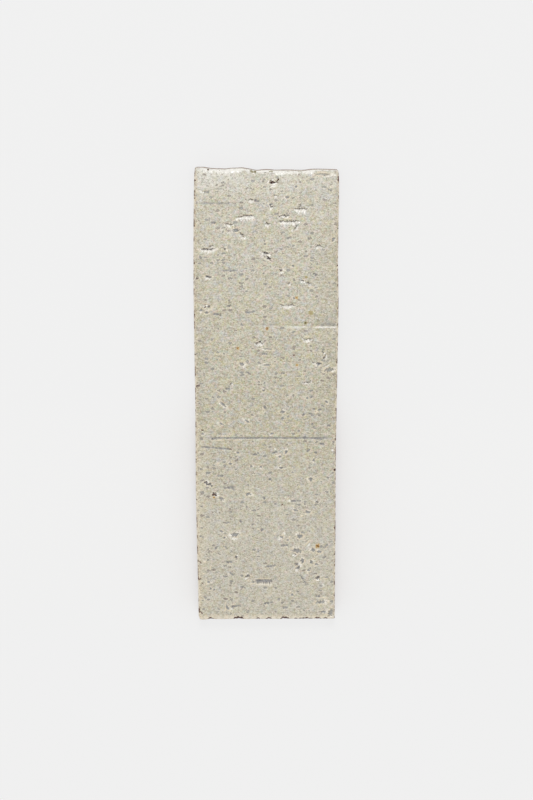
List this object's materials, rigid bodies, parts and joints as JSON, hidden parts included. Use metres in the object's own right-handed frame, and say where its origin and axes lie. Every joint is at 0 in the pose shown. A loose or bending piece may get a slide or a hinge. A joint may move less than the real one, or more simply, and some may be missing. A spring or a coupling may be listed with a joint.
{
  "type": "thin brick tile",
  "caption": "Long, flat glazed clay facing tile with a torn wire-cut face, chipped edges and a back of dovetail grooves.",
  "frame": {"origin": "middle of the plane that the back's lands rest on, at the centre of the tile's box", "axes": "+X across the width, +Y along the extruded length, +Z out of the glazed face"},
  "size_m": [0.0624, 0.203, 0.013],
  "materials": {
    "glazed_clay": "satin"
  },
  "bodies": {
    "root": {"thin_brick": "glazed_clay"}
  },
  "joints": []
}
